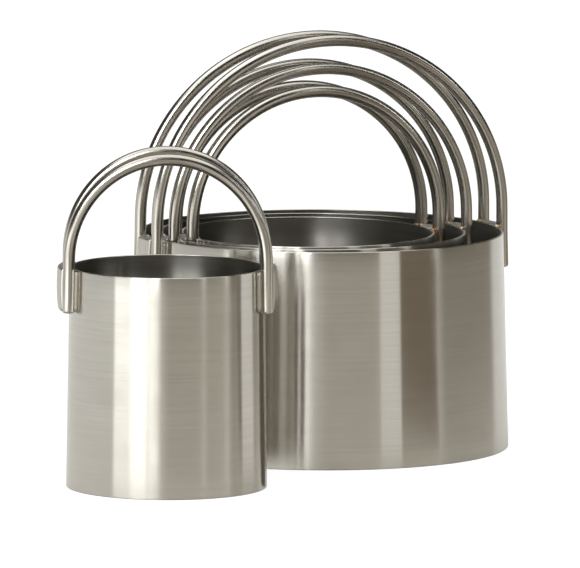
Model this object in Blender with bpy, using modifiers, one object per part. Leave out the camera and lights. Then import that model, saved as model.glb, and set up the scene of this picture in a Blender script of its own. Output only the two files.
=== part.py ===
"""Set of four round pastry cutters with double-wire hoop handles, three of them nested.

Each cutter is an open, slightly flared steel band. Two bent wires arch over it side by side,
their feet lie against the outside of the band, and a curved plate fills the gap between the
feet at each end. Metres, +Z up, +Y away from the viewer, origin under the footprint's middle.
"""

from collections import namedtuple
from math import cos, pi, radians, sin, sqrt

import bmesh
import bpy

# Driving dimensions
BAND_HEIGHT = 0.0516
WALL = 0.00055
EDGE_CHAMFER = 0.00012
FOOT_LENGTH = 0.0100
PLATE_THICKNESS = 0.0027
PLATE_TOP_RISE = 0.0001
PLATE_ROUNDING = 0.0005
WELD_GAP = 0.00025

# Diameters of the cutting edge and of the rim, place of the axis, turn of the handle in degrees,
# straight rise of the legs above the rim, height of the arch over its half-span, and the wires'
# spacing and diameter
Cutter = namedtuple("Cutter", "name cutting rim x y turn rise flattening spacing wire")
CUTTERS = (
    Cutter("outer", 0.0900, 0.0869, 0.0, 0.0, 23.0, 0.0043, 0.938, 0.0108, 0.0028),
    Cutter("middle", 0.0762, 0.0734, -0.0023, -0.0011, 23.0, 0.0034, 0.955, 0.0108, 0.0028),
    Cutter("inner", 0.0635, 0.0608, -0.0034, -0.0024, 22.0, 0.0034, 0.978, 0.0108, 0.0030),
    Cutter("small", 0.0469, 0.0455, -0.0361, -0.0711, 1.5, 0.0023, 1.029, 0.0166, 0.0028),
)

BAND_SEGMENTS = 72
ARCH_POINTS = 25
PLATE_COLUMNS = 6
PLATE_ROWS = 3

STEEL = (0.62, 0.60, 0.57, 1.0)
WIRE_STEEL = (0.55, 0.53, 0.50, 1.0)
PLATE_STEEL = (0.66, 0.64, 0.60, 1.0)


def clear_scene():
    for obj in list(bpy.data.objects):
        bpy.data.objects.remove(obj, do_unlink=True)


def new_collection(name):
    collection = bpy.data.collections.new(name)
    bpy.context.scene.collection.children.link(collection)
    return collection


def steel(name, color, roughness):
    material = bpy.data.materials.new(name)
    material.use_nodes = True
    shader = material.node_tree.nodes["Principled BSDF"]
    shader.inputs["Base Color"].default_value = color
    shader.inputs["Metallic"].default_value = 1.0
    shader.inputs["Roughness"].default_value = roughness
    return material


def add_object(name, data, parent, collection, material):
    obj = bpy.data.objects.new(name, data)
    collection.objects.link(obj)
    obj.parent = parent
    data.materials.append(material)
    return obj


def band_radius(cutter, z):
    """Outer radius of the flared band at height z."""
    return (cutter.cutting + (cutter.rim - cutter.cutting) * z / BAND_HEIGHT) / 2


def band_profile(cutter):
    """Closed section of the band wall, down the outer side from the rim and back up inside."""
    rt, zt = band_radius(cutter, BAND_HEIGHT), BAND_HEIGHT
    rb, zb = band_radius(cutter, 0.0), 0.0
    c = EDGE_CHAMFER
    return (
        (rt - c, zt),
        (rt, zt - c),
        (rb, zb + c),
        (rb - c, zb),
        (rb - WALL + c, zb),
        (rb - WALL, zb + c),
        (rt - WALL, zt - c),
        (rt - WALL + c, zt),
    )


def add_band(cutter, parent, collection, material):
    name = cutter.name + "_band"
    mesh = bpy.data.meshes.new(name)
    bm = bmesh.new()
    corners = [bm.verts.new((r, 0.0, z)) for r, z in band_profile(cutter)]
    for first, second in zip(corners, corners[1:] + corners[:1]):
        bm.edges.new((first, second))
    bm.to_mesh(mesh)
    bm.free()
    obj = add_object(name, mesh, parent, collection, material)
    screw = obj.modifiers.new("turn", "SCREW")
    screw.axis = "Z"
    screw.angle = 2 * pi
    screw.steps = BAND_SEGMENTS
    screw.render_steps = BAND_SEGMENTS
    screw.use_merge_vertices = True
    screw.merge_threshold = 0.00001
    screw.use_smooth_shade = True
    return obj


def wire_reach(cutter, z):
    """How far from the middle, along the handle, a wire lying on the band is at height z."""
    touching = band_radius(cutter, z) + WELD_GAP + cutter.wire / 2
    return sqrt(touching**2 - (cutter.spacing / 2) ** 2)


def wire_path(cutter):
    """Half-span and height of a handle wire's centre line, from its left foot to its right."""
    foot_z = BAND_HEIGHT - FOOT_LENGTH
    foot = wire_reach(cutter, foot_z)
    span = wire_reach(cutter, BAND_HEIGHT)
    spring_z = BAND_HEIGHT + cutter.rise
    arch = []
    for i in range(ARCH_POINTS):
        angle = pi * i / (ARCH_POINTS - 1)
        arch.append((-span * cos(angle), spring_z + span * cutter.flattening * sin(angle)))
    left = [(-foot, foot_z), (-span, BAND_HEIGHT)]
    right = [(span, BAND_HEIGHT), (foot, foot_z)]
    return left + arch + right


def add_wire(cutter, place, offset, parent, collection, material):
    name = f"{cutter.name}_{place}_wire"
    curve = bpy.data.curves.new(name, "CURVE")
    curve.dimensions = "3D"
    curve.bevel_depth = cutter.wire / 2
    curve.bevel_resolution = 2
    curve.use_fill_caps = True
    path = wire_path(cutter)
    spline = curve.splines.new("POLY")
    spline.points.add(len(path) - 1)
    for point, (x, z) in zip(spline.points, path):
        point.co = (x, offset, z, 1.0)
    return add_object(name, curve, parent, collection, material)


def add_plate(cutter, place, side, parent, collection, material):
    """Curved plate on the band's outside, filling the gap between the two wires' feet."""
    name = f"{cutter.name}_{place}_plate"
    bottom = BAND_HEIGHT - FOOT_LENGTH
    top = BAND_HEIGHT + PLATE_TOP_RISE
    half_width = (cutter.spacing - cutter.wire) / 2 - WELD_GAP
    mesh = bpy.data.meshes.new(name)
    bm = bmesh.new()
    bmesh.ops.create_grid(bm, x_segments=PLATE_COLUMNS, y_segments=PLATE_ROWS, size=1.0)
    for vert in bm.verts:
        z = bottom + (top - bottom) * (vert.co.y + 1) / 2
        radius = band_radius(cutter, min(z, BAND_HEIGHT)) + WELD_GAP
        across = vert.co.x * half_width
        vert.co = (sqrt(radius**2 - across**2) * side, across * side, z)
    bm.to_mesh(mesh)
    bm.free()
    mesh.shade_smooth()
    obj = add_object(name, mesh, parent, collection, material)
    solid = obj.modifiers.new("thickness", "SOLIDIFY")
    solid.thickness = PLATE_THICKNESS
    solid.offset = 1.0
    bevel = obj.modifiers.new("rounding", "BEVEL")
    bevel.width = PLATE_ROUNDING
    bevel.segments = 2
    bevel.limit_method = "ANGLE"
    bevel.angle_limit = radians(40)
    return obj


def add_cutter(cutter, base, collection, materials):
    axis = bpy.data.objects.new(cutter.name + "_axis", None)
    collection.objects.link(axis)
    axis.parent = base
    axis.location = (cutter.x, cutter.y, 0.0)
    axis.rotation_euler.z = radians(cutter.turn)
    band, wire, plate = materials
    parts = [add_band(cutter, axis, collection, band)]
    for place, side in (("front", -1), ("rear", 1)):
        offset = side * cutter.spacing / 2
        parts.append(add_wire(cutter, place, offset, axis, collection, wire))
    for place, side in (("left", -1), ("right", 1)):
        parts.append(add_plate(cutter, place, side, axis, collection, plate))
    return parts


def centre_footprint(parts, base):
    """Moves the set so that the origin lies under the middle of its footprint."""
    bpy.context.view_layer.update()
    graph = bpy.context.evaluated_depsgraph_get()
    spots = []
    for part in parts:
        shape = part.evaluated_get(graph)
        mesh = shape.to_mesh()
        spots += [shape.matrix_world @ vert.co for vert in mesh.vertices]
        shape.to_mesh_clear()
    for axis in (0, 1):
        values = [spot[axis] for spot in spots]
        base.location[axis] = -(min(values) + max(values)) / 2


def main():
    clear_scene()
    collection = new_collection("pastry_cutter_set")
    base = bpy.data.objects.new("set_base", None)
    collection.objects.link(base)
    materials = (
        steel("brushed_band", STEEL, 0.32),
        steel("drawn_wire", WIRE_STEEL, 0.28),
        steel("pressed_plate", PLATE_STEEL, 0.30),
    )
    parts = []
    for cutter in CUTTERS:
        parts += add_cutter(cutter, base, collection, materials)
    centre_footprint(parts, base)


main()
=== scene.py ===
"""Looks for a nesting set of four round pastry cutters with double-wire hoop handles.

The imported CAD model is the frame. Every band, wire and plate is rebuilt here as a finer mesh in
the same place, with rolled lips, a butt seam, ground wire ends, weld fillets along the feet, weld
beads at the rims and brushed steel materials. Metres, +Z up, -Y towards the viewer.
"""

from math import atan2, cos, exp, hypot, pi, radians, sin, sqrt, tau
from random import Random
from types import SimpleNamespace

import bmesh
import bpy
from mathutils import Matrix, Vector


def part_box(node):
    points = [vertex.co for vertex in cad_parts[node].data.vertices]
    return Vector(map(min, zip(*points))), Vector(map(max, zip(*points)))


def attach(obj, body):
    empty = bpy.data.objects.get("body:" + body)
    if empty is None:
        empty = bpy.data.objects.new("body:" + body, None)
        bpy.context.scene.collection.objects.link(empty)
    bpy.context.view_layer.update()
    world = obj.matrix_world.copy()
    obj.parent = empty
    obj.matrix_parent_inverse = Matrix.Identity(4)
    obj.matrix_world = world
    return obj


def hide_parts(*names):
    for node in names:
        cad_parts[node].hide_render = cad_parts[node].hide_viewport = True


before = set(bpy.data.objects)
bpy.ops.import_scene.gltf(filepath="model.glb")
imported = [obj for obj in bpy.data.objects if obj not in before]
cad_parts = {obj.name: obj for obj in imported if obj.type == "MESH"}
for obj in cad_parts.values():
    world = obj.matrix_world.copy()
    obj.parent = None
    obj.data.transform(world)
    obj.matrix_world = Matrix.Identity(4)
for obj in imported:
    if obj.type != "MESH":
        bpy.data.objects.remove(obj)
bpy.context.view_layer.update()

CUTTERS = ("outer", "middle", "inner", "small")

# The handles' dimensions that the CAD nodes don't show directly. The rise is from the rim to the
# start of the arch.
LEG_RISE = {"outer": 0.0043, "middle": 0.0034, "inner": 0.0034, "small": 0.0023}
WIRE_DIAMETER = {"outer": 0.0028, "middle": 0.0028, "inner": 0.0030, "small": 0.0028}
WIRE_SPACING = {"outer": 0.0108, "middle": 0.0108, "inner": 0.0108, "small": 0.0166}

# The same on every cutter
WALL = 0.00055
LIP_ROUNDING = 0.00017
PLATE_THICKNESS = 0.0027
WELD_GAP = 0.00025

# Camera, measured from the outer cutter's axis on the floor
CAMERA_PLACE = Vector((-0.00476, -2.46716, 0.34987))
CAMERA_PITCH = radians(7.19)
CAMERA_YAW = radians(0.066)
CAMERA_ROLL = radians(0.31)
LENS = 643.67


# ---------------------------------------------------------------- the frame's dimensions


def mesh_middle(node):
    points = [v.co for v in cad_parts[node].data.vertices]
    return sum(points, Vector()) / len(points)


def measure(name):
    """Axis, radii, handle direction and handle heights of one cutter, from its CAD nodes."""
    low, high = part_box(name + "_band")
    axis = Vector(((low.x + high.x) / 2, (low.y + high.y) / 2, 0.0))
    height = high.z
    reach = []
    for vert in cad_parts[name + "_band"].data.vertices:
        reach.append((hypot(vert.co.x - axis.x, vert.co.y - axis.y), vert.co.z))
    foot_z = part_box(name + "_front_wire")[0].z
    plate_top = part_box(name + "_right_plate")[1].z
    plate_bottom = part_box(name + "_right_plate")[0].z
    along = mesh_middle(name + "_right_plate") - mesh_middle(name + "_left_plate")
    return SimpleNamespace(
        name=name,
        axis=axis,
        height=height,
        cutting_radius=max(r for r, z in reach if z < height / 2),
        rim_radius=max(r for r, z in reach if z > height / 2),
        turn=atan2(along.y, along.x),
        foot_z=foot_z,
        wire=WIRE_DIAMETER[name],
        spacing=WIRE_SPACING[name],
        arch_top=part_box(name + "_front_wire")[1].z - WIRE_DIAMETER[name] / 2,
        plate_top=plate_top,
        plate_bottom=plate_bottom,
    )


def band_radius(cutter, z):
    """Outer radius of the flared band at height z."""
    share = min(z, cutter.height) / cutter.height
    return cutter.cutting_radius + (cutter.rim_radius - cutter.cutting_radius) * share


def wire_reach(cutter, z):
    """Distance from the axis, along the handle, of a wire lying on the band at height z."""
    touching = band_radius(cutter, z) + WELD_GAP + cutter.wire / 2
    return sqrt(touching**2 - (cutter.spacing / 2) ** 2)


# ---------------------------------------------------------------- mesh helpers


def new_piece(name, cutter, bm, material):
    """Object on the cutter's body, from a bmesh made round the cutter's own axis."""
    mesh = bpy.data.meshes.new(name)
    bmesh.ops.recalc_face_normals(bm, faces=bm.faces)
    bm.transform(Matrix.Translation(cutter.axis) @ Matrix.Rotation(cutter.turn, 4, "Z"))
    bm.to_mesh(mesh)
    bm.free()
    mesh.shade_smooth()
    mesh.materials.append(material)
    obj = bpy.data.objects.new(name, mesh)
    bpy.context.scene.collection.objects.link(obj)
    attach(obj, cutter.name)
    return obj


def loft(bm, rings, closed_run=False, uvs=None):
    """Quads between closed rings of equal length. uvs gives (u, v) for each vertex of each ring."""
    layer = bm.loops.layers.uv.verify()
    rows = [[bm.verts.new(point) for point in ring] for ring in rings]
    count = len(rings[0])
    runs = len(rows) if closed_run else len(rows) - 1
    for i in range(runs):
        for j in range(count):
            nxt, beside = (i + 1) % len(rows), (j + 1) % count
            corners = (rows[i][j], rows[i][beside], rows[nxt][beside], rows[nxt][j])
            face = bm.faces.new(corners)
            if uvs:
                places = ((i, j), (i, j + 1), (i + 1, j + 1), (i + 1, j))
                for loop, place in zip(face.loops, places):
                    loop[layer].uv = uvs(*place)
    return rows


# ---------------------------------------------------------------- pieces


BAND_COLUMNS = 288
LIP_STEPS = 5
WALL_ROWS = 10
SEAM_WIDTH = 0.0007
SEAM_HEIGHT = 0.00006
SEAM_STEPS = 3
SEAM_END_SHARE = 0.4
UNROUNDNESS = 0.00005
UNROUND_WAVES = range(3, 11)
UV_PER_METRE = 10


def lip(middle_r, middle_z, start):
    """Points round a quarter turn of a band's rounded edge."""
    points = []
    for i in range(LIP_STEPS + 1):
        angle = start + pi / 2 * i / LIP_STEPS
        points.append((middle_r + LIP_ROUNDING * cos(angle), middle_z + LIP_ROUNDING * sin(angle)))
    return points


def band_section(cutter):
    """Closed section of the wall: up the outside, over the rim, down the inside, under the edge."""
    c = LIP_ROUNDING
    bottom, top = cutter.cutting_radius, cutter.rim_radius
    points = []
    for i in range(WALL_ROWS + 1):
        z = c + (cutter.height - 2 * c) * i / WALL_ROWS
        points.append((band_radius(cutter, z), z))
    points += lip(top - c, cutter.height - c, 0)[1:]
    points += lip(top - WALL + c, cutter.height - c, pi / 2)
    for i in range(WALL_ROWS + 1):
        z = cutter.height - c - (cutter.height - 2 * c) * i / WALL_ROWS
        points.append((band_radius(cutter, z) - WALL, z))
    points += lip(bottom - WALL + c, c, pi)[1:]
    points += lip(bottom - c, c, 3 * pi / 2)[:-1]
    return points


def seam_angles(cutter, seam):
    """Even steps round the band, with closer ones across the seam."""
    angles = [tau * i / BAND_COLUMNS for i in range(BAND_COLUMNS)]
    half = SEAM_WIDTH / cutter.rim_radius
    close = [seam + half * i / SEAM_STEPS for i in range(-2 * SEAM_STEPS, 2 * SEAM_STEPS + 1)]
    margin = tau / BAND_COLUMNS / 2
    kept = [a for a in angles if abs((a - seam + pi) % tau - pi) > 2 * half + margin]
    return sorted(kept + [a % tau for a in close])


def add_band(cutter, material, seam, seed):
    """Flared band with rolled lips, slightly out of round, with a ground butt seam."""
    random = Random(seed)
    waves = []
    for k in UNROUND_WAVES:
        waves.append((k, UNROUNDNESS * random.uniform(0.3, 1) / k, random.uniform(0, tau)))
    angles = seam_angles(cutter, seam)
    section = band_section(cutter)
    rings = []
    for angle in angles:
        wobble = sum(size * cos(k * angle + start) for k, size, start in waves)
        off_seam = ((angle - seam + pi) % tau - pi) * cutter.rim_radius / SEAM_WIDTH
        bead = -SEAM_HEIGHT * exp(-(off_seam**2) * 2)
        ring = []
        for r, z in section:
            fade = sin(pi * min(max(z / cutter.height, 0), 1)) ** 0.5
            radius = r + wobble + bead * (SEAM_END_SHARE + (1 - SEAM_END_SHARE) * fade)
            ring.append((radius * cos(angle), radius * sin(angle), z))
        rings.append(ring)
    lengths = [0.0]
    for first, second in zip(section, section[1:] + section[:1]):
        lengths.append(lengths[-1] + hypot(second[0] - first[0], second[1] - first[1]))
    turns = angles + [tau]

    def uv(i, j):
        return turns[i] * cutter.rim_radius * UV_PER_METRE, lengths[j] * UV_PER_METRE

    bm = bmesh.new()
    loft(bm, rings, closed_run=True, uvs=uv)
    band = new_piece(cutter.name + "_steel_band", cutter, bm, material)
    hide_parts(cutter.name + "_band")
    return band


ARCH_STEPS = 120
LEG_STEPS = 14
WIRE_SIDES = 24
WIRE_END_ROUNDING = 0.0006
WIRE_END_STEPS = 5
WIRE_EASINGS = 4
WIRE_SHARP_ANGLE = radians(60)


def wire_line(cutter):
    """Centre line of a handle wire in the handle's own plane, left foot to right foot."""
    foot = wire_reach(cutter, cutter.foot_z)
    span = wire_reach(cutter, cutter.height)
    spring = cutter.height + LEG_RISE[cutter.name]
    leg = []
    for i in range(LEG_STEPS):
        share = i / LEG_STEPS
        z = cutter.foot_z + (cutter.height - cutter.foot_z) * share
        leg.append((foot + (span - foot) * share, z))
    leg.append((span, cutter.height))
    leg.append((span, (cutter.height + spring) / 2))
    arch = []
    for i in range(ARCH_STEPS + 1):
        angle = pi * i / ARCH_STEPS
        arch.append((-span * cos(angle), spring + (cutter.arch_top - spring) * sin(angle)))
    line = [(-x, z) for x, z in leg] + arch + leg[::-1]
    for _ in range(WIRE_EASINGS):
        eased = [line[0]]
        for before, here, after in zip(line, line[1:], line[2:]):
            eased.append(tuple((a + 2 * b + c) / 4 for a, b, c in zip(before, here, after)))
        line = eased + [line[-1]]
    return line


def wire_rings(line, offset, radius):
    """Rings of a round wire along the line, with ground, slightly rounded ends."""
    rings, along = [], [0.0]
    for first, second in zip(line, line[1:]):
        along.append(along[-1] + hypot(second[0] - first[0], second[1] - first[1]))

    def ring(x, z, tangent, r):
        normal = Vector((-tangent.y, tangent.x))
        points = []
        for k in range(WIRE_SIDES):
            angle = tau * k / WIRE_SIDES
            out, side = r * cos(angle), r * sin(angle)
            points.append((x + normal.x * out, offset + side, z + normal.y * out))
        return points

    def end_rings(point, tangent, direction):
        made = []
        for i in range(WIRE_END_STEPS + 1):
            angle = pi / 2 * i / WIRE_END_STEPS
            r = radius - WIRE_END_ROUNDING * (1 - sin(angle))
            back = WIRE_END_ROUNDING * (1 - cos(angle))
            x = point[0] + tangent.x * direction * back
            z = point[1] + tangent.y * direction * back
            made.append(ring(x, z, tangent, r))
        return made

    first = (Vector(line[1]) - Vector(line[0])).normalized()
    last = (Vector(line[-1]) - Vector(line[-2])).normalized()
    margin = WIRE_END_ROUNDING * 1.2
    inner = [i for i, s in enumerate(along) if margin < s < along[-1] - margin]
    rings += end_rings(line[0], first, 1)
    for i in inner:
        tangent = (Vector(line[i + 1]) - Vector(line[i - 1])).normalized()
        rings.append(ring(*line[i], tangent, radius))
    rings += end_rings(line[-1], last, -1)[::-1]
    return rings


def add_wire(cutter, place, offset, material):
    """One round handle wire, with its marks mirrored round it so that they meet without a line."""
    rings = wire_rings(wire_line(cutter), offset, cutter.wire / 2)

    def uv(i, j):
        return i / len(rings), abs(2 * j / WIRE_SIDES - 1)

    bm = bmesh.new()
    rows = loft(bm, rings, uvs=uv)
    bm.faces.new(rows[0])
    bm.faces.new(rows[-1])
    wire = new_piece(f"{cutter.name}_{place}_handle_wire", cutter, bm, material)
    wire.data.set_sharp_from_angle(angle=WIRE_SHARP_ANGLE)
    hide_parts(f"{cutter.name}_{place}_wire")
    return wire


PLATE_COLUMNS = 20
PLATE_ROWS = 24
PLATE_ROUNDING = 0.00055
PLATE_ROUNDING_STEPS = 4
PLATE_EDGE_ANGLE = radians(50)
PLATE_CROWN = 0.00025
# share of the plate's height at which it stands out most
PLATE_FULLEST = 0.65


def plate_skin(cutter, side, outside):
    """Rows of points on the plate's back, or on its crowned outside."""
    bottom, top = cutter.plate_bottom, cutter.plate_top
    half_width = (cutter.spacing - cutter.wire) / 2 - WELD_GAP
    skin = []
    for i in range(PLATE_ROWS + 1):
        z = bottom + (top - bottom) * i / PLATE_ROWS
        radius = band_radius(cutter, z) + WELD_GAP
        if outside:
            share = 2 * (i / PLATE_ROWS - PLATE_FULLEST)
            radius += PLATE_THICKNESS - PLATE_CROWN * share**2
        row = []
        for j in range(PLATE_COLUMNS + 1):
            across = half_width * (2 * j / PLATE_COLUMNS - 1)
            row.append((sqrt(radius**2 - across**2) * side, across * side, z))
        skin.append(row)
    return skin


def add_plate(cutter, place, side, material):
    """Pressed plate between the feet: curved with the band, and crowned a little top to bottom."""
    bm = bmesh.new()
    skins = [plate_skin(cutter, side, outside) for outside in (False, True)]
    grid = [[[bm.verts.new(p) for p in row] for row in skin] for skin in skins]
    for skin in grid:
        for upper, lower in zip(skin[1:], skin):
            for j in range(PLATE_COLUMNS):
                bm.faces.new((lower[j], lower[j + 1], upper[j + 1], upper[j]))
    back, front = grid

    def wall(first, second):
        for j in range(len(first) - 1):
            bm.faces.new((first[j], first[j + 1], second[j + 1], second[j]))

    wall(back[0], front[0])
    wall(back[-1], front[-1])
    wall([row[0] for row in back], [row[0] for row in front])
    wall([row[-1] for row in back], [row[-1] for row in front])
    plate = new_piece(f"{cutter.name}_{place}_handle_plate", cutter, bm, material)
    bevel = plate.modifiers.new("rounding", "BEVEL")
    bevel.width = PLATE_ROUNDING
    bevel.segments = PLATE_ROUNDING_STEPS
    bevel.limit_method = "ANGLE"
    bevel.angle_limit = PLATE_EDGE_ANGLE
    bevel.harden_normals = False
    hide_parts(f"{cutter.name}_{place}_plate")
    return plate


BEAD_SIZE = (0.00055, 0.0011, 0.0007)
BEAD_WAVES = 6
BEAD_LUMPINESS = 0.22
# how far a bead's middle is sunk into the wire, set below the rim, and drawn in along the band
BEAD_SINK = 0.0001
BEAD_DROP = 0.00035
BEAD_OFFSET_SHARE = 0.93


def add_weld_bead(cutter, place, offset, side, material, seed):
    """Small lumpy bead where a wire's leg crosses the rim, bridging the wire and the band."""
    random = Random(seed)
    bm = bmesh.new()
    bmesh.ops.create_icosphere(bm, subdivisions=4, radius=1.0)
    waves = []
    for _ in range(BEAD_WAVES):
        waves.append((Vector([random.uniform(-3, 3) for _ in range(3)]), random.uniform(0, tau)))
    for vert in bm.verts:
        lumps = sum(sin(wave.dot(vert.co) * 1.6 + start) for wave, start in waves) / len(waves)
        vert.co *= 1 + BEAD_LUMPINESS * lumps
        vert.co = Vector([a * b for a, b in zip(vert.co, BEAD_SIZE)])
    inward = wire_reach(cutter, cutter.height) - cutter.wire / 2 - BEAD_SINK
    z = cutter.height - BEAD_DROP
    bmesh.ops.translate(bm, verts=bm.verts, vec=(inward * side, offset * BEAD_OFFSET_SHARE, z))
    bead = new_piece(f"{cutter.name}_{place}_weld_bead", cutter, bm, material)
    return bead


FILLET_SPREAD = 0.0008
FILLET_CLIMB = radians(35)
FILLET_STEPS = 8
FILLET_ROWS = 12
# short of the foot's end and of the rim, and sunk into the wire and the band
FILLET_END_GAP = 0.0004
FILLET_WIRE_SINK = 0.00003
FILLET_BAND_SINK = 0.00004


def fillet_ring(cutter, offset, side, z):
    """Closed section of the fillet at height z: a hollow curve from the wire down to the band."""
    away = 1 if offset > 0 else -1
    radius = cutter.wire / 2 - FILLET_WIRE_SINK
    band = band_radius(cutter, z) - FILLET_BAND_SINK
    centre = Vector((wire_reach(cutter, z), offset))
    inward = -centre.normalized()
    beside = Vector((-inward.y, inward.x))
    if beside.y * away < 0:
        beside = -beside
    climb = centre + (inward * cos(FILLET_CLIMB) + beside * sin(FILLET_CLIMB)) * radius
    angle = atan2(offset, centre.x) + away * FILLET_SPREAD / band
    landing = Vector((cos(angle), sin(angle))) * band
    middle = (climb + landing) / 2
    corner = middle * 0.25 + centre.normalized() * band * 0.75
    hollow = corner.lerp(middle, 0.45)
    points = []
    for k in range(FILLET_STEPS + 1):
        t = k / FILLET_STEPS
        points.append(climb * (1 - t) ** 2 + hollow * 2 * t * (1 - t) + landing * t * t)
    points.append(centre + inward * radius * 0.9)
    return [(p.x * side, p.y, z) for p in points]


def add_fillet(cutter, place, offset, side, material):
    """Ground weld fillet along a wire's foot, closing the crevice between the wire and the band."""
    low, high = cutter.foot_z + FILLET_END_GAP, cutter.height - FILLET_END_GAP
    rings = []
    for i in range(FILLET_ROWS + 1):
        rings.append(fillet_ring(cutter, offset, side, low + (high - low) * i / FILLET_ROWS))
    bm = bmesh.new()
    rows = loft(bm, rings)
    bm.faces.new(rows[0])
    bm.faces.new(rows[-1])
    fillet = new_piece(f"{cutter.name}_{place}_foot_fillet", cutter, bm, material)
    return fillet


# ---------------------------------------------------------------- node helpers


def noise(nodes, links, vector, scale, detail):
    """Noise over the vector, stretched by a scale for each axis."""
    mapping = nodes.new("ShaderNodeMapping")
    mapping.inputs["Scale"].default_value = scale
    links.new(vector, mapping.inputs["Vector"])
    node = nodes.new("ShaderNodeTexNoise")
    node.inputs["Scale"].default_value = 1.0
    node.inputs["Detail"].default_value = detail
    node.inputs["Roughness"].default_value = 0.5
    links.new(mapping.outputs["Vector"], node.inputs["Vector"])
    return node.outputs["Fac"]


def ranged(nodes, links, value, low, high, to_low, to_high):
    node = nodes.new("ShaderNodeMapRange")
    node.inputs["From Min"].default_value = low
    node.inputs["From Max"].default_value = high
    node.inputs["To Min"].default_value = to_low
    node.inputs["To Max"].default_value = to_high
    links.new(value, node.inputs["Value"])
    return node.outputs["Result"]


def computed(nodes, links, operation, first, second=None):
    node = nodes.new("ShaderNodeMath")
    node.operation = operation
    links.new(first, node.inputs[0])
    if second:
        links.new(second, node.inputs[1])
    return node.outputs["Value"]


def mixed(nodes, links, factor, first, second, kind="MIX"):
    """Colour mix. The factor is a socket or a number, and a colour is a socket or an (r, g, b)."""
    node = nodes.new("ShaderNodeMix")
    node.data_type = "RGBA"
    node.blend_type = kind
    node.clamp_result = False
    for name, value in (("Factor", factor), ("A", first), ("B", second)):
        if isinstance(value, tuple):
            node.inputs[name].default_value = (*value, 1)
        elif isinstance(value, float):
            node.inputs[name].default_value = value
        else:
            links.new(value, node.inputs[name])
    return node.outputs["Result"]


def ramp(nodes, links, source, stops):
    """Colour ramp with (place, colour) stops."""
    node = nodes.new("ShaderNodeValToRGB")
    elements = node.color_ramp.elements
    while len(elements) < len(stops):
        elements.new(0.5)
    for element, (place, color) in zip(elements, stops):
        element.position = place
        element.color = (*color, 1)
    links.new(source, node.inputs["Fac"])
    return node.outputs["Color"]


def coordinates(nodes, links, source):
    """The x, y and z of a vector socket, by name."""
    node = nodes.new("ShaderNodeSeparateXYZ")
    links.new(source, node.inputs["Vector"])
    return node.outputs


def add_bump(nodes, links, shader, height, strength, distance):
    bump = nodes.new("ShaderNodeBump")
    bump.inputs["Strength"].default_value = strength
    bump.inputs["Distance"].default_value = distance
    links.new(height, bump.inputs["Height"])
    links.new(bump.outputs["Normal"], shader.inputs["Normal"])


# ---------------------------------------------------------------- materials


def material_base(name, color, roughness):
    material = bpy.data.materials.new(name)
    material.use_nodes = True
    nodes, links = material.node_tree.nodes, material.node_tree.links
    shader = nodes["Principled BSDF"]
    shader.inputs["Base Color"].default_value = (*color, 1)
    shader.inputs["Metallic"].default_value = 1.0
    shader.inputs["Roughness"].default_value = roughness
    return material, nodes, links, shader


# The UV's v runs up the band's outside and down its inside; this is where it passes the rim
RIM_V = (0.515, 0.525)
INNER_ROUGHNESS_GAIN = 0.20
# painted shade: grey that darkens the colour of the band's inside
INNER_PAINTED_SHADE = (0.68, 0.68, 0.68)


def brushed_band_material():
    """Steel brushed round the band: long fine lines, and a reflection drawn out up and down.

    The band's inside is rougher, so duller, than its outside, and its colour is darkened there with
    painted shade.
    """
    material, nodes, links, shader = material_base("brushed_band", (0.62, 0.60, 0.55), 0.21)
    shader.inputs["Anisotropic"].default_value = 1.0
    shader.inputs["Anisotropic Rotation"].default_value = 0.25
    tangent = nodes.new("ShaderNodeTangent")
    tangent.direction_type = "RADIAL"
    tangent.axis = "Z"
    links.new(tangent.outputs["Tangent"], shader.inputs["Tangent"])
    uv = nodes.new("ShaderNodeTexCoord").outputs["UV"]
    fine = noise(nodes, links, uv, (6, 1500, 1), 3)
    broad = noise(nodes, links, uv, (2, 160, 1), 3)
    blotch = noise(nodes, links, uv, (9, 14, 1), 4)
    v = coordinates(nodes, links, uv)["Y"]
    shade = ranged(nodes, links, computed(nodes, links, "ADD", fine, broad), 0.6, 1.4, 0.0, 1.0)
    color = mixed(nodes, links, shade, (0.575, 0.56, 0.51), (0.655, 0.64, 0.59))
    # painted shade: the colour of the band's inside is multiplied by the grey above
    inside = ranged(nodes, links, v, *RIM_V, 0.0, 1.0)
    color = mixed(nodes, links, inside, color, INNER_PAINTED_SHADE, "MULTIPLY")
    links.new(color, shader.inputs["Base Color"])
    rough = ranged(nodes, links, blotch, 0.3, 0.7, 0.19, 0.23)
    gain = ranged(nodes, links, v, *RIM_V, 0.0, INNER_ROUGHNESS_GAIN)
    links.new(computed(nodes, links, "ADD", rough, gain), shader.inputs["Roughness"])
    add_bump(nodes, links, shader, broad, 0.05, 0.00002)
    return material


TINT_COLOR = (0.42, 0.30, 0.17)
# the tint fades out over these heights above the rim, and starts right of these places
TINT_RISE = (-0.0015, 0.0035)
TINT_X = (0.028, 0.032)


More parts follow.
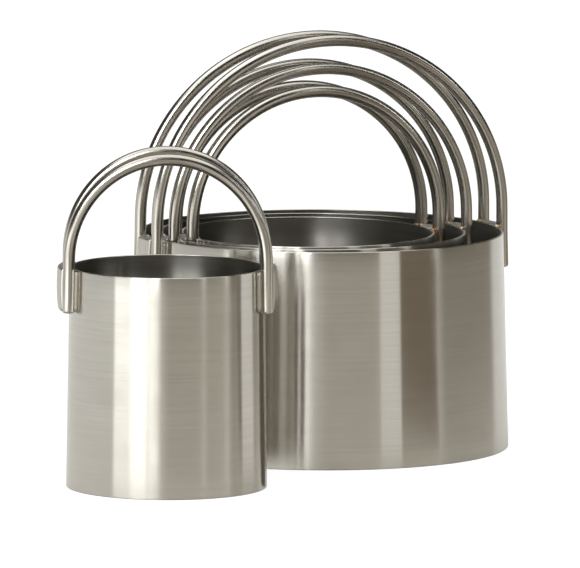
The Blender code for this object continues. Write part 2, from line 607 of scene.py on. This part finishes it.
def drawn_wire_material(rim_z):
    """Drawn steel wire with lengthwise marks, and brown heat tint near the right-hand rims."""
    material, nodes, links, shader = material_base("drawn_wire", (0.50, 0.48, 0.44), 0.19)
    coord = nodes.new("ShaderNodeTexCoord")
    marks = noise(nodes, links, coord.outputs["UV"], (5, 5, 1), 2)
    patches = noise(nodes, links, coord.outputs["Object"], (240, 240, 90), 4)
    streaks = ranged(nodes, links, marks, 0.40, 0.60, 0, 1)
    color = mixed(nodes, links, streaks, (0.40, 0.38, 0.34), (0.66, 0.64, 0.59))
    place = coordinates(nodes, links, coord.outputs["Object"])
    low, high = TINT_RISE
    above = ranged(nodes, links, place["Z"], rim_z + low, rim_z + high, 1.0, 0.0)
    rightward = ranged(nodes, links, place["X"], *TINT_X, 0.0, 1.0)
    there = computed(nodes, links, "MULTIPLY", above, rightward)
    patchy = ranged(nodes, links, patches, 0.40, 0.65, 0.0, 0.55)
    tint = mixed(nodes, links, computed(nodes, links, "MULTIPLY", there, patchy), color, TINT_COLOR)
    links.new(tint, shader.inputs["Base Color"])
    links.new(ranged(nodes, links, patches, 0.3, 0.7, 0.16, 0.24), shader.inputs["Roughness"])
    add_bump(nodes, links, shader, marks, 0.1, 0.00003)
    return material


def pressed_plate_material():
    """Plain pressed steel with an upright grain."""
    material, nodes, links, shader = material_base("pressed_plate", (0.60, 0.58, 0.53), 0.34)
    coord = nodes.new("ShaderNodeTexCoord")
    grain = noise(nodes, links, coord.outputs["Object"], (900, 900, 120), 3)
    shade = ranged(nodes, links, grain, 0.3, 0.7, 0, 1)
    color = mixed(nodes, links, shade, (0.55, 0.53, 0.48), (0.64, 0.62, 0.57))
    links.new(color, shader.inputs["Base Color"])
    links.new(ranged(nodes, links, grain, 0.3, 0.7, 0.30, 0.40), shader.inputs["Roughness"])
    add_bump(nodes, links, shader, grain, 0.1, 0.00003)
    return material


BARE_WELD = (0.62, 0.60, 0.55)
BURNT_WELD = (0.25, 0.14, 0.10)
# Straw and deeper heat colours of the beads on the nested cutters' right-hand legs
WELD_COLORS = {
    "outer": ((0.72, 0.66, 0.50), (0.74, 0.58, 0.30)),
    "middle": ((0.76, 0.62, 0.32), (0.76, 0.50, 0.16)),
    "inner": ((0.80, 0.48, 0.16), (0.72, 0.26, 0.06)),
}


def weld_material(name, straw, deep):
    """Weld metal with heat colours, from bare steel through straw to a deeper colour."""
    material, nodes, links, shader = material_base(name, straw, 0.28)
    coord = nodes.new("ShaderNodeTexCoord")
    patches = noise(nodes, links, coord.outputs["Object"], (700, 700, 700), 3)
    stops = ((0.25, BARE_WELD), (0.42, straw), (0.55, deep), (0.70, BURNT_WELD))
    links.new(ramp(nodes, links, patches, stops), shader.inputs["Base Color"])
    links.new(ranged(nodes, links, patches, 0.3, 0.7, 0.22, 0.4), shader.inputs["Roughness"])
    return material


# ---------------------------------------------------------------- studio


BLACK, WHITE = (0.0, 0.0, 0.0), (1.0, 1.0, 1.0)

# By azimuth in degrees, from the camera's side and clockwise seen from above: the radiance of the
# walls, the softbox's share, and the strips as first and last azimuth and share
WALLS = (
    (-180, (0.84, 0.83, 0.81)),
    (-125, (0.84, 0.83, 0.81)),
    (-95, (0.90, 0.89, 0.87)),
    (-70, (0.96, 0.95, 0.92)),
    (-15, (0.98, 0.96, 0.92)),
    (-5, (0.76, 0.73, 0.68)),
    (4, (0.54, 0.50, 0.44)),
    (78, (0.52, 0.48, 0.42)),
    (84, (0.30, 0.27, 0.23)),
    (132, (0.30, 0.27, 0.23)),
    (139, (0.78, 0.77, 0.75)),
    (180, (0.84, 0.83, 0.81)),
)
SOFTBOX = (
    (-180, BLACK),
    (-65.2, BLACK),
    (-62.8, WHITE),
    (-24, WHITE),
    (-12, (0.15, 0.15, 0.15)),
    (-2, BLACK),
    (180, BLACK),
)
STRIPS = ((-44, -24, 0.9), (-20, -8, 1.0), (44, 48, 0.4), (75, 81, 0.5))

# By height, where 0 is straight down, 0.5 is level and 1 is straight up: what is left of the walls
# with the softbox, and how far up the softbox, the strips and the ceiling light reach
WALL_HEIGHTS = (
    (0.20, (0.3, 0.27, 0.23)),
    (0.36, WHITE),
    (0.54, WHITE),
    (0.60, (0.06, 0.055, 0.05)),
)
SOFTBOX_HEIGHTS = ((0.28, BLACK), (0.34, WHITE), (0.53, WHITE), (0.57, BLACK), (1.0, BLACK))
STRIP_HEIGHTS = ((0.0, BLACK), (0.61, BLACK), (0.64, WHITE), (0.84, WHITE), (0.90, BLACK))
CEILING_HEIGHTS = ((0.0, BLACK), (0.88, BLACK), (0.94, WHITE), (1.0, WHITE))

SOFTBOX_RADIANCE = (1.35, 1.35, 1.35)
STRIP_RADIANCE = (7.0, 7.0, 7.0)
CEILING_RADIANCE = (1.9, 1.89, 1.86)


def strip_stops():
    """Azimuth stops of the strips, with edges two degrees wide."""
    stops = [(-180, BLACK)]
    for first, last, share in STRIPS:
        grey = (share, share, share)
        stops += [(first - 1, BLACK), (first + 1, grey), (last - 1, grey), (last + 1, BLACK)]
    return stops


def add_world():
    """Studio round the set, as radiance by direction."""
    world = bpy.data.worlds.new("studio")
    bpy.context.scene.world = world
    world.use_nodes = True
    nodes, links = world.node_tree.nodes, world.node_tree.links
    toward = coordinates(nodes, links, nodes.new("ShaderNodeTexCoord").outputs["Generated"])
    viewer = ranged(nodes, links, toward["Y"], -1, 1, 1, -1)
    angle = computed(nodes, links, "ARCTAN2", toward["X"], viewer)
    turn = ranged(nodes, links, angle, -pi, pi, 0, 1)
    rise = ranged(nodes, links, toward["Z"], -1, 1, 0, 1)

    def around(stops):
        return ramp(nodes, links, turn, [((azimuth + 180) / 360, color) for azimuth, color in stops])

    def upward(stops):
        return ramp(nodes, links, rise, stops)

    def product(first, second):
        return mixed(nodes, links, 1.0, first, second, "MULTIPLY")

    def total(first, second):
        return mixed(nodes, links, 1.0, first, second, "ADD")

    softbox = product(product(around(SOFTBOX), upward(SOFTBOX_HEIGHTS)), SOFTBOX_RADIANCE)
    walls = product(total(around(WALLS), softbox), upward(WALL_HEIGHTS))
    ceiling = product(upward(CEILING_HEIGHTS), CEILING_RADIANCE)
    strips = product(product(around(strip_stops()), upward(STRIP_HEIGHTS)), STRIP_RADIANCE)
    background = nodes["Background"]
    links.new(total(total(walls, ceiling), strips), background.inputs["Color"])
    background.inputs["Strength"].default_value = 1.0


def emission_material(name, color, strength):
    material = bpy.data.materials.new(name)
    material.use_nodes = True
    nodes, links = material.node_tree.nodes, material.node_tree.links
    nodes.remove(nodes["Principled BSDF"])
    shader = nodes.new("ShaderNodeEmission")
    shader.inputs["Color"].default_value = (*color, 1)
    shader.inputs["Strength"].default_value = strength
    links.new(shader.outputs["Emission"], nodes["Material Output"].inputs["Surface"])
    return material


# Name, the two ends on the floor, height, colour and strength
CARDS = (
    ("bright_card", (0.0494, -0.0523), (0.0428, -0.0278), 0.100, (1.0, 0.98, 0.94), 0.80),
    ("dark_card", (0.080, -0.058), (0.080, -0.0195), 0.100, (0.20, 0.16, 0.12), 1.0),
    ("edge_card", (-0.0036, -0.048), (-0.0007, -0.048), 0.044, (0.12, 0.10, 0.08), 1.0),
)


def add_card(name, start, end, height, color, strength):
    """Upright studio card seen only in reflections."""
    mesh = bpy.data.meshes.new(name)
    corners = [(*start, 0.0), (*end, 0.0), (*end, height), (*start, height)]
    mesh.from_pydata(corners, [], [(0, 1, 2, 3)])
    mesh.materials.append(emission_material(name, color, strength))
    card = bpy.data.objects.new(name, mesh)
    bpy.context.scene.collection.objects.link(card)
    card.visible_camera = False
    card.visible_diffuse = False
    card.visible_shadow = False
    return card


FLOOR_HALF_SIZE = 6.0
# what the camera sees: a glow that makes the floor white, and a little light for the shadow
FLOOR_GLOW = 0.86
FLOOR_SEEN = (0.25, 0.25, 0.25)
# what reflections see: a sheet that fades out between two distances, with painted shade that makes
# it dark inside a band
FLOOR_REFLECTED = (0.80, 0.78, 0.74)
FLOOR_PAINTED_SHADE_SHARE = (0.1, 0.1, 0.1)
FLOOR_PAINTED_SHADE_EDGE = 0.003
FLOOR_FADE = (0.06, 0.36)
FLOOR_CLEARNESS = (0.40, 1.0)


def floor_material(enclosing):
    material = bpy.data.materials.new("studio_floor")
    material.use_nodes = True
    nodes, links = material.node_tree.nodes, material.node_tree.links
    shader = nodes["Principled BSDF"]
    shader.inputs["Roughness"].default_value = 0.9
    shader.inputs["Specular IOR Level"].default_value = 0.0
    shader.inputs["Emission Color"].default_value = (1, 1, 1, 1)
    path = nodes.new("ShaderNodeLightPath")
    seen = path.outputs["Is Camera Ray"]
    glow = ranged(nodes, links, seen, 0, 1, 0.0, FLOOR_GLOW)
    links.new(glow, shader.inputs["Emission Strength"])
    place = nodes.new("ShaderNodeTexCoord").outputs["Object"]
    color = FLOOR_REFLECTED
    for cutter in enclosing:
        away = nodes.new("ShaderNodeVectorMath")
        away.operation = "DISTANCE"
        away.inputs[1].default_value = cutter.axis
        links.new(place, away.inputs[0])
        edge = cutter.cutting_radius
        distance = away.outputs["Value"]
        # painted shade: reflections see the floor inside each enclosing band darkened
        inside = ranged(nodes, links, distance, edge - FLOOR_PAINTED_SHADE_EDGE, edge, 1.0, 0.0)
        color = mixed(nodes, links, inside, color, FLOOR_PAINTED_SHADE_SHARE, "MULTIPLY")
    links.new(mixed(nodes, links, seen, color, FLOOR_SEEN), shader.inputs["Base Color"])
    far = nodes.new("ShaderNodeVectorMath")
    far.operation = "LENGTH"
    links.new(place, far.inputs[0])
    fade = ranged(nodes, links, far.outputs["Value"], *FLOOR_FADE, *FLOOR_CLEARNESS)
    mix = nodes.new("ShaderNodeMixShader")
    clearness = computed(nodes, links, "MULTIPLY", fade, path.outputs["Is Glossy Ray"])
    links.new(clearness, mix.inputs["Fac"])
    links.new(shader.outputs["BSDF"], mix.inputs[1])
    links.new(nodes.new("ShaderNodeBsdfTransparent").outputs["BSDF"], mix.inputs[2])
    links.new(mix.outputs["Shader"], nodes["Material Output"].inputs["Surface"])
    return material


def add_floor(enclosing):
    """White floor with a faint shadow; reflections see it near the set, and painted shade makes it
    dark inside a band.
    """
    mesh = bpy.data.meshes.new("studio_floor")
    bm = bmesh.new()
    bmesh.ops.create_grid(bm, x_segments=1, y_segments=1, size=FLOOR_HALF_SIZE)
    bm.to_mesh(mesh)
    bm.free()
    mesh.materials.append(floor_material(enclosing))
    floor = bpy.data.objects.new("studio_floor", mesh)
    bpy.context.scene.collection.objects.link(floor)
    return floor


def add_camera(outer):
    data = bpy.data.cameras.new("camera")
    data.lens = LENS
    data.clip_end = 20
    camera = bpy.data.objects.new("camera", data)
    bpy.context.scene.collection.objects.link(camera)
    turn = Matrix.Rotation(CAMERA_YAW, 4, "Z") @ Matrix.Rotation(pi / 2 - CAMERA_PITCH, 4, "X")
    turn = turn @ Matrix.Rotation(CAMERA_ROLL, 4, "Z")
    camera.matrix_world = Matrix.Translation(outer.axis + CAMERA_PLACE) @ turn
    bpy.context.scene.camera = camera
    return camera


# ---------------------------------------------------------------- build


# Angle of each band's seam from its handle's right-hand end
SEAMS = {"outer": radians(150), "middle": radians(140), "inner": radians(-75), "small": radians(120)}


def build_cutter(cutter, number, band, wire, plate, weld):
    """One cutter's pieces. A cutter without a weld material gets no beads."""
    add_band(cutter, band, SEAMS[cutter.name] % tau, number)
    for place, offset in (("front", -cutter.spacing / 2), ("rear", cutter.spacing / 2)):
        add_wire(cutter, place, offset, wire)
        for end, side in (("left", -1), ("right", 1)):
            add_fillet(cutter, f"{place}_{end}", offset, side, plate)
            if weld:
                seed = number * 10 + (offset > 0) * 2 + (side > 0)
                bead = weld if side > 0 else wire
                add_weld_bead(cutter, f"{place}_{end}", offset, side, bead, seed)
    for place, side in (("left", -1), ("right", 1)):
        add_plate(cutter, place, side, plate)


measured = {name: measure(name) for name in CUTTERS}
outer = measured["outer"]
steel = (brushed_band_material(), drawn_wire_material(outer.height), pressed_plate_material())
welds = {}
for name, colors in WELD_COLORS.items():
    welds[name] = weld_material(f"{name}_weld_metal", *colors)
for number, name in enumerate(CUTTERS, 1):
    build_cutter(measured[name], number, *steel, welds.get(name))

add_world()
add_floor([measured["inner"], measured["small"]])
for card in CARDS:
    add_card(*card)
add_camera(outer)
bpy.context.scene.view_settings.view_transform = "Standard"
bpy.context.scene.view_settings.look = "None"
